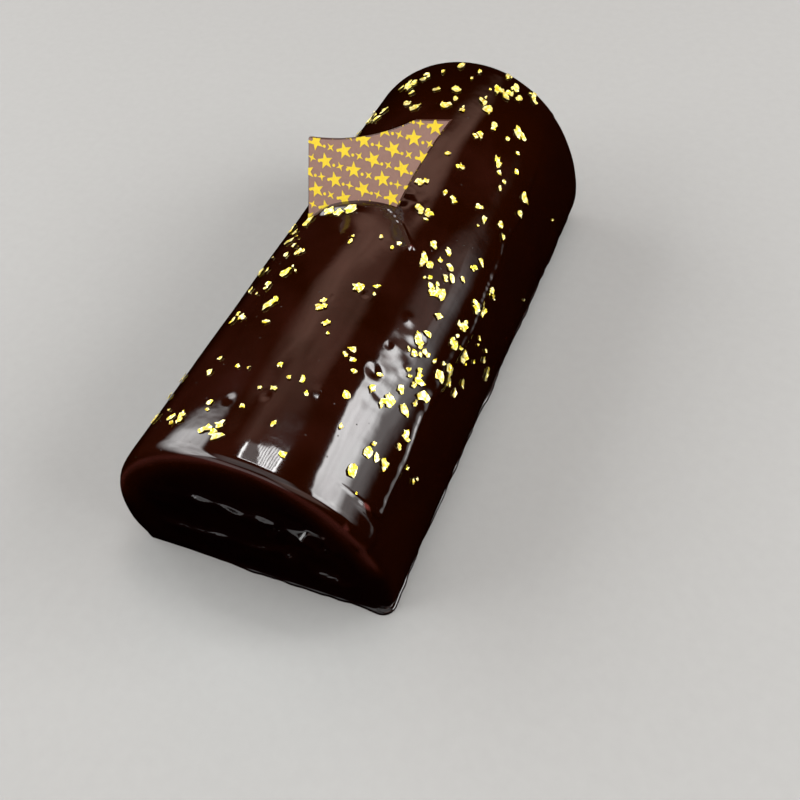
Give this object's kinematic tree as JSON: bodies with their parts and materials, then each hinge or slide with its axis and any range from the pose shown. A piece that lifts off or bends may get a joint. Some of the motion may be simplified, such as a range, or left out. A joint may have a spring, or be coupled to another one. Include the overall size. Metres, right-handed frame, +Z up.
{
  "type": "yule log cake",
  "caption": "Uncut rolled cake with a flat base under glossy dark chocolate glaze, with a thin printed chocolate plaque stuck in its top.",
  "frame": {"origin": "centre of the object's box, on the flat base that it rests on", "axes": "+Z up, +Y along the roll to the end behind the plaque's printed face, +X across to the side with the free edge of the roll"},
  "size_m": [0.0898, 0.1972, 0.0894],
  "materials": {
    "chocolate_glaze": "mirror glaze of dark chocolate over cream, very glossy",
    "printed_chocolate": "thin sheet of chocolate with a satin pink-brown printed face",
    "gold_leaf": "crumpled flakes of edible gold leaf"
  },
  "bodies": {
    "root": {"roll": "chocolate_glaze", "plaque": "printed_chocolate"}
  },
  "joints": []
}
